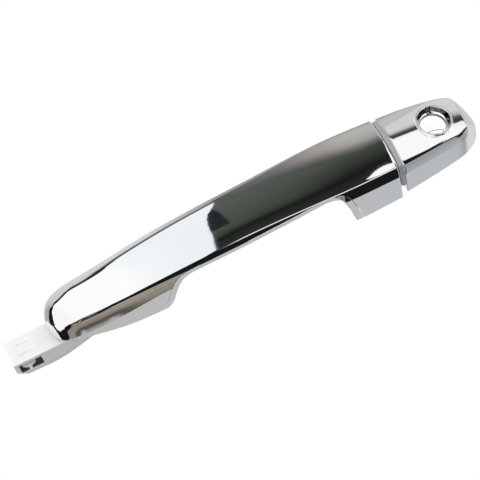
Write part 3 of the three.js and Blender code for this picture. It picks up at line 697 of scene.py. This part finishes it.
# ---------- stage, light and camera ----------
FLOOR_HALF, FLOOR_GAP = 3, 0.0005
floor_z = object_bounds()[0].z - FLOOR_GAP
floor_mesh = bpy.data.meshes.new("floor")
floor_mesh.from_pydata([
    (x * FLOOR_HALF, y * FLOOR_HALF, floor_z) for x, y in ((-1, -1), (1, -1), (1, 1), (-1, 1))],
    [], [(0, 1, 2, 3)])
floor = bpy.data.objects.new("floor", floor_mesh)
bpy.context.scene.collection.objects.link(floor)
floor_mat = bpy.data.materials.new("floor")
floor_mat.use_nodes = True
paint = floor_mat.node_tree
paint.nodes.clear()
glow = paint.nodes.new("ShaderNodeEmission")
glow.inputs["Color"].default_value = (1, 1, 1, 1)
clear = paint.nodes.new("ShaderNodeBsdfTransparent")
facing = paint.nodes.new("ShaderNodeNewGeometry")
either = paint.nodes.new("ShaderNodeMixShader")
paint_out = paint.nodes.new("ShaderNodeOutputMaterial")
paint.links.new(facing.outputs["Backfacing"], either.inputs[0])
paint.links.new(glow.outputs[0], either.inputs[1])
paint.links.new(clear.outputs[0], either.inputs[2])
paint.links.new(either.outputs[0], paint_out.inputs["Surface"])
floor_mesh.materials.append(floor_mat)
floor.visible_glossy = False
floor.visible_diffuse = False

world = bpy.data.worlds.new("studio")
world.use_nodes = True
bpy.context.scene.world = world
tree = world.node_tree
tree.nodes.clear()


def node(kind, **inputs):
    made = tree.nodes.new(kind)
    for key, value in inputs.items():
        made.inputs[key].default_value = value
    return made


def feed(socket, value):
    if isinstance(value, bpy.types.NodeSocket):
        tree.links.new(value, socket)
    else:
        socket.default_value = value


def calc(operation, a, b=0.0):
    made = tree.nodes.new("ShaderNodeMath")
    made.operation = operation
    feed(made.inputs[0], a)
    feed(made.inputs[1], b)
    return made.outputs[0]


def rise(value, low, high):
    """0 below low, 1 above high, smooth between; low above high runs the other way."""
    made = tree.nodes.new("ShaderNodeMapRange")
    made.interpolation_type = "SMOOTHSTEP"
    feed(made.inputs["Value"], value)
    feed(made.inputs["From Min"], min(low, high))
    feed(made.inputs["From Max"], max(low, high))
    made.inputs["To Min"].default_value = 0.0 if low < high else 1.0
    made.inputs["To Max"].default_value = 1.0 if low < high else 0.0
    return made.outputs["Result"]


def grey(v, warm=0.0):
    return (v * (1 + warm), v, v * (1 - warm), 1)


def mixed(a, b, share):
    made = tree.nodes.new("ShaderNodeMix")
    made.data_type = "RGBA"
    feed(made.inputs["Factor"], share)
    feed(made.inputs["A"], a)
    feed(made.inputs["B"], b)
    return made.outputs["Result"]


def ramp(value, low, high, stops):
    """Colours, or plain numbers for greys, placed along a value that runs from low to high."""
    made = tree.nodes.new("ShaderNodeValToRGB")
    place = tree.nodes.new("ShaderNodeMapRange")
    feed(place.inputs["Value"], value)
    place.inputs["From Min"].default_value, place.inputs["From Max"].default_value = low, high
    tree.links.new(place.outputs["Result"], made.inputs["Fac"])
    elements = made.color_ramp.elements
    while len(elements) < len(stops):
        elements.new(0.5)
    for element, (at, color) in zip(elements, stops):
        element.position = (at - low) / (high - low)
        element.color = color if isinstance(color, tuple) else grey(color)
    return made.outputs["Color"]


def curve(value, pairs):
    """A number read off [position, number] pairs."""
    low, high = pairs[0][0], pairs[-1][0]
    return calc("SUBTRACT", ramp(value, low, high, [(at, v + 2) for at, v in pairs]), 2.0)


def past(value, limit, soft):
    """1 where value is above limit, with a soft edge; a negative softness turns it round."""
    return rise(calc("SUBTRACT", value, limit), -soft, soft)


def both(*shares):
    """The product of some shares: 1 only where each of them is."""
    product = shares[0]
    for share in shares[1:]:
        product = calc("MULTIPLY", product, share)
    return product


def tinted(v):
    """A grey leaning to green."""
    return (v * 0.94, v * 1.06, v * 0.90, 1)


# The studio is a light by direction: X along the handle, Y up the door, Z out of it.
coords = tree.nodes.new("ShaderNodeTexCoord")
split = tree.nodes.new("ShaderNodeSeparateXYZ")
tree.links.new(coords.outputs["Generated"], split.inputs[0])
X, Y, Z = split.outputs
ragged = node("ShaderNodeTexNoise", Scale=9.0, Detail=3.0)
tree.links.new(coords.outputs["Generated"], ragged.inputs["Vector"])
swirl = calc("SUBTRACT", ragged.outputs["Fac"], 0.5)

# Overhead: a white tent, edged by a thin dark seam with pale grey past it.
tent = ramp(X, -1, 0, [
    (-1.0, 1.01), (-0.62, 1.01), (-0.56, 1.07), (-0.28, 1.08),
    (-0.08, (0.94, 0.98, 1.02, 1)), (0.0, (0.94, 0.98, 1.02, 1))])
seam = curve(X, [
    (-1.0, 0.06), (-0.98, 0.12), (-0.94, 0.23), (-0.9, 0.31), (-0.86, 0.37), (-0.82, 0.43),
    (-0.74, 0.49), (-0.66, 0.55), (-0.58, 0.60), (-0.52, 0.645), (-0.44, 0.705), (-0.40, 0.752),
    (-0.36, 0.795), (-0.32, 0.847), (-0.28, 0.894), (-0.24, 0.921), (-0.20, 0.960), (-0.16, 0.978),
    (-0.12, 0.985), (-0.08, 0.989), (-0.04, 0.993), (0.0, 0.995)])
seam_width = curve(X, [
    (-1.0, 0.16), (-0.94, 0.09), (-0.8, 0.06), (-0.44, 0.06), (-0.40, 0.047), (-0.36, 0.034),
    (-0.32, 0.024), (-0.24, 0.019), (-0.20, 0.012), (-0.16, 0.008), (0.0, 0.005)])
from_seam = calc("SUBTRACT", Y, seam)
edging = ramp(X, -1, 0, [
    (-1.0, 0.36), (-0.8, 0.44), (-0.6, 0.56), (-0.4, 0.66), (0.0, 0.68)])
tent = mixed(tent, edging, rise(from_seam, -0.001, 0.003))
seam_color = ramp(X, -1, 0, [(-1.0, 0.008), (-0.4, 0.008), (-0.2, 0.03), (0.0, 0.10)])
tent = mixed(tent, seam_color, past(seam_width, calc("ABSOLUTE", from_seam), 0.004))

# One long dark strip across the tent.
level = calc("SUBTRACT", Y, calc("MULTIPLY", X, 0.55))
strip = ramp(level, -1.1, 1.1, [
    (-1.1, tinted(0.024)), (-0.60, tinted(0.026)), (-0.49, tinted(0.020)), (-0.41, tinted(0.013)),
    (-0.37, tinted(0.022)), (-0.33, tinted(0.036)), (-0.25, tinted(0.056)), (-0.13, tinted(0.072)),
    (0.07, tinted(0.079)), (0.5, tinted(0.092)), (1.1, tinted(0.112))])
deep = ramp(level, -1.1, 1.1, [
    (-1.1, tinted(0.018)), (-0.63, tinted(0.022)), (-0.53, tinted(0.019)), (-0.41, tinted(0.011)),
    (-0.33, tinted(0.015)), (-0.23, tinted(0.024)), (-0.13, tinted(0.034)), (-0.03, tinted(0.042)),
    (0.17, tinted(0.056)), (0.37, tinted(0.078)), (1.1, tinted(0.10))])
strip = mixed(strip, deep, rise(X, 0.03, 0.25))
column = both(rise(X, 0.026, 0.018), rise(Y, -0.07, 0.02))
strip = mixed(strip, (0.017, 0.023, 0.027, 1), column)
far = calc("ADD", Y, calc("MULTIPLY", calc("SUBTRACT", X, 0.28), 2.3))
glow_up = ramp(far, 0.4, 1.0, [
    (0.4, 0.088), (0.45, 0.10), (0.51, 0.13), (0.56, grey(0.17, 0.03)),
    (0.61, grey(0.23, 0.05)), (0.66, grey(0.30, 0.05)), (0.71, grey(0.37, 0.05)),
    (0.76, grey(0.41, 0.04)), (0.87, grey(0.49, 0.04)), (1.0, grey(0.56, 0.03))])
strip = mixed(strip, glow_up, rise(far, 0.40, 0.50))
left = curve(Y, [(-1.0, -0.018), (-0.9, -0.022), (-0.8, -0.030), (-0.6, -0.037), (-0.4, -0.036),
                 (-0.2, -0.032), (0.1, -0.030), (0.2, -0.027), (0.4, -0.023), (0.5, -0.017),
                 (0.6, -0.014), (0.7, -0.006), (0.8, 0.002), (0.9, 0.02), (1.0, 0.04)])
left = calc("ADD", left, calc("MULTIPLY", swirl, 0.0015))
tent = mixed(tent, strip, past(X, left, 0.0012))

# The side past the strip: white card over a dark gap that bends round the cap's end.
gap_edge = curve(X, [
    (0.2, 0.45), (0.36, 0.42), (0.42, 0.35), (0.45, 0.295), (0.475, 0.18), (0.505, -0.04),
    (0.535, -0.06), (0.6, -0.09), (0.66, -0.10), (0.78, -0.06), (0.9, -0.01), (1.0, 0.02)])
gap_width = curve(X, [(0.2, 0.13), (0.45, 0.135), (0.475, 0.16), (0.505, 0.26), (1.0, 0.27)])
lean = calc("DIVIDE", calc("SUBTRACT", Y, gap_edge), gap_width)
card = ramp(lean, -1, 4, [
    (-1.0, 1.05), (-0.12, 0.97), (0.0, 0.55), (0.10, 0.055), (0.4, 0.045),
    (0.6, 0.08), (0.8, 0.10), (1.0, 0.24), (1.15, 0.42), (1.35, grey(0.54, 0.02)),
    (1.7, grey(0.63, 0.02)), (2.1, grey(0.71, 0.02)), (4.0, grey(0.73, 0.02))])
card = mixed(card, grey(0.70, 0.02), both(rise(Y, 0.55, 0.65), rise(X, 0.5, 0.48)))
card = mixed(card, grey(0.012),
             both(rise(Y, -0.42, -0.46), rise(X, 0.492, 0.482), rise(X, 0.335, 0.35)))
card_start = curve(Y, [
    (-1.0, 0.29), (-0.5, 0.285), (-0.46, 0.294), (-0.42, 0.300), (-0.38, 0.307), (-0.34, 0.312),
    (-0.28, 0.318), (0.0, 0.322), (0.1, 0.33), (0.2, 0.345), (1.0, 0.35)])
upper = mixed(tent, card, past(X, card_start, 0.0012))

# Below: taupe and black bands by the side wall, pale grey under them.
turned_y = calc("ADD", Y, calc("MULTIPLY", swirl, 0.05))
taupe = ramp(turned_y, -0.9, -0.3, [
    (at, (v * 1.29, v * 1.15, v * 0.98, 1)) for at, v in (
        (-0.9, 0.27), (-0.70, 0.30), (-0.66, 0.33), (-0.64, 0.24), (-0.625, 0.21), (-0.61, 0.33),
        (-0.598, 0.26), (-0.588, 0.20), (-0.578, 0.25), (-0.565, 0.19), (-0.54, 0.21),
        (-0.50, 0.22), (-0.3, 0.24))])
mid = ramp(X, 0.0, 1.0, [
    (0.0, 0.01), (0.245, 0.01), (0.27, (0.33, 0.345, 0.36, 1)), (0.40, (0.36, 0.375, 0.39, 1)),
    (0.43, 0.10), (0.455, 0.004), (0.48, 0.03), (1.0, 0.05)])
mid = mixed(taupe, mid, rise(X, 0.028, 0.05))
pale = ramp(X, -0.4, 1.0, [
    (-0.4, 0.42), (-0.3, (0.50, 0.50, 0.485, 1)), (-0.02, (0.54, 0.54, 0.535, 1)),
    (0.3, (0.53, 0.55, 0.58, 1)), (0.42, (0.45, 0.46, 0.48, 1)), (0.46, 0.33), (0.55, 0.42),
    (1.0, 0.5)])
pale = mixed(pale, grey(0.72), both(rise(Y, -0.30, -0.16), rise(X, 0.40, 0.46)))
skirt = curve(X, [
    (-0.4, -0.34), (-0.36, -0.37), (-0.32, -0.42), (-0.28, -0.46), (-0.24, -0.495),
    (-0.22, -0.505), (-0.19, -0.513), (-0.17, -0.525), (-0.15, -0.53), (-0.1, -0.533),
    (-0.04, -0.533), (-0.01, -0.505), (0.05, -0.505), (0.3, -0.505), (0.45, -0.50), (0.5, -0.45),
    (1.0, -0.45)])
hem = both(past(Y, calc("SUBTRACT", skirt, 0.026), 0.012), rise(X, 0.0, -0.02),
           rise(X, -0.34, -0.30))
lower = mixed(mixed(mid, (0.10, 0.088, 0.075, 1), hem), pale, past(Y, skirt, 0.006))
lower = mixed(lower, mixed(mid, pale, rise(Y, -0.62, -0.40)),
              both(rise(X, 0.255, 0.28), rise(X, 0.44, 0.41)))
lower = mixed(lower, grey(0.95), both(rise(Y, -0.70, -0.76), rise(X, 0.48, 0.50)))
rim = curve(X, [
    (-0.45, -0.97), (-0.39, -0.92), (-0.35, -0.87), (-0.31, -0.84), (-0.29, -0.80), (-0.27, -0.74),
    (-0.25, -0.60), (-0.235, -0.635), (-0.21, -0.685), (-0.19, -0.70), (-0.11, -0.722),
    (-0.05, -0.70), (-0.01, -0.665), (0.03, -0.62), (0.06, -0.55), (0.24, -0.55), (0.27, -0.86),
    (0.48, -0.86), (0.5, -1.2)])
left_side = curve(Y, [
    (-0.65, -0.42), (-0.56, -0.43), (-0.48, -0.45), (-0.4, -0.455), (-0.32, -0.49),
    (-0.24, -0.505), (-0.17, -0.56), (-0.13, -1.2)])
right_side = curve(Y, [
    (-0.65, -0.34), (-0.56, -0.35), (-0.48, -0.36), (-0.4, -0.40), (-0.32, -0.41), (-0.2, -0.425),
    (0.0, -0.45), (0.2, -0.44)])
lower = mixed(lower, grey(0.012), both(rise(Y, -0.60, -0.64), rise(X, -0.27, -0.29)))
spark = calc("SQRT", calc("ADD", calc("POWER", calc("ADD", X, 0.345), 2.0),
                          calc("POWER", calc("ADD", Y, 0.72), 2.0)))
lower = mixed(lower, grey(0.9), rise(spark, 0.035, 0.02))
lower = mixed(lower, grey(1.02), past(left_side, X, 0.006))
lower = mixed(lower, grey(1.02), both(rise(Y, -0.60, -0.64), rise(X, -0.36, -0.42)))
lower = mixed(lower, grey(0.010), past(rim, Y, 0.010))
lower = mixed(lower, grey(0.010), both(past(X, left_side, 0.006), past(right_side, X, 0.006),
                                        rise(Y, -0.62, -0.59)))
far_side = curve(X, [
    (-1.0, 0.14), (-0.8, 0.13), (-0.72, 0.17), (-0.6, 0.20), (-0.45, 0.25), (1.0, 0.27)])
beyond = ramp(X, -1, 1, [
    (-1.0, 0.42), (-0.8, 0.48), (-0.5, 0.62), (-0.05, 0.74), (0.05, 0.36),
    (0.28, 0.40), (0.4, 0.66), (1.0, 0.60)])
lower = mixed(lower, beyond, past(Y, far_side, 0.02))
studio = mixed(lower, upper, rise(Z, -0.03, 0.03))

# Round the nose: the seam bends down over the near side as a broad black band.
ring_low = curve(Z, [
    (-1.0, -0.22), (-0.6, -0.20), (-0.33, -0.16), (-0.09, -0.15), (-0.03, -0.14), (0.03, -0.11),
    (0.15, -0.09), (0.21, -0.03), (0.27, 0.0), (0.33, 0.08), (0.39, 0.19), (0.45, 0.27),
    (0.51, 0.30), (0.57, 0.40), (0.63, 0.51), (0.7, 0.6), (1.0, 0.9)])
ring_high = curve(Z, [
    (-1.0, 0.20), (-0.69, 0.19), (-0.5, 0.14), (-0.33, 0.14), (-0.27, 0.15), (-0.15, 0.21),
    (-0.03, 0.25), (0.03, 0.34), (0.09, 0.45), (0.15, 0.55), (0.21, 0.58), (0.27, 0.63),
    (0.51, 0.62), (0.57, 0.64), (0.7, 0.72), (1.0, 1.0)])
ring_grey = ramp(Z, -0.6, 0.6, [(-0.6, 0.44), (0.0, 0.44), (0.3, 0.52), (0.6, 0.58)])
ring = mixed(grey(1.03), grey(0.010), past(Y, ring_low, 0.012))
ring = mixed(ring, ring_grey, past(Y, ring_high, 0.015))
studio = mixed(studio, ring, rise(X, -0.57, -0.61))

# A line of daylight along the horizon of the near side.
horizon = both(rise(Z, -0.36, -0.26), rise(Z, 0.18, 0.08), rise(Y, -0.86, -0.93),
               rise(X, 0.01, 0.04), rise(X, 0.30, 0.27))
studio = mixed(studio, grey(0.95), horizon)

# What the matt surfaces see: plain soft light from above.
soft = ramp(Z, -1, 1, [(-1.0, 0.16), (-0.1, 0.24), (0.35, 0.80), (1.0, 1.35)])
path = tree.nodes.new("ShaderNodeLightPath")
light = mixed(studio, soft, path.outputs["Is Diffuse Ray"])
light = mixed(light, grey(1.0), path.outputs["Is Camera Ray"])
background = tree.nodes.new("ShaderNodeBackground")
tree.links.new(light, background.inputs["Color"])
end = tree.nodes.new("ShaderNodeOutputWorld")
tree.links.new(background.outputs[0], end.inputs["Surface"])

TARGET = Vector((-0.1044, 0.00298, 0.0))
CAMERA_DISTANCE, CAMERA_ROLL = 0.95, 26.12
toward = Vector((-0.08, -0.50, 0.862)).normalized()
flat_x = (Vector((1, 0, 0)) - toward * toward.x).normalized()
flat_y = toward.cross(flat_x)
turn = math.radians(CAMERA_ROLL)
right = flat_x * math.cos(turn) - flat_y * math.sin(turn)
up = flat_x * math.sin(turn) + flat_y * math.cos(turn)
data = bpy.data.cameras.new("camera")
data.lens, data.sensor_width = 137.0, 36.0
data.clip_start, data.clip_end = 0.01, 20
camera = bpy.data.objects.new("camera", data)
bpy.context.scene.collection.objects.link(camera)
place = TARGET + toward * CAMERA_DISTANCE
camera.matrix_world = Matrix((
    (right.x, up.x, toward.x, place.x), (right.y, up.y, toward.y, place.y),
    (right.z, up.z, toward.z, place.z), (0, 0, 0, 1)))
bpy.context.scene.camera = camera
bpy.context.scene.view_settings.view_transform = "Standard"
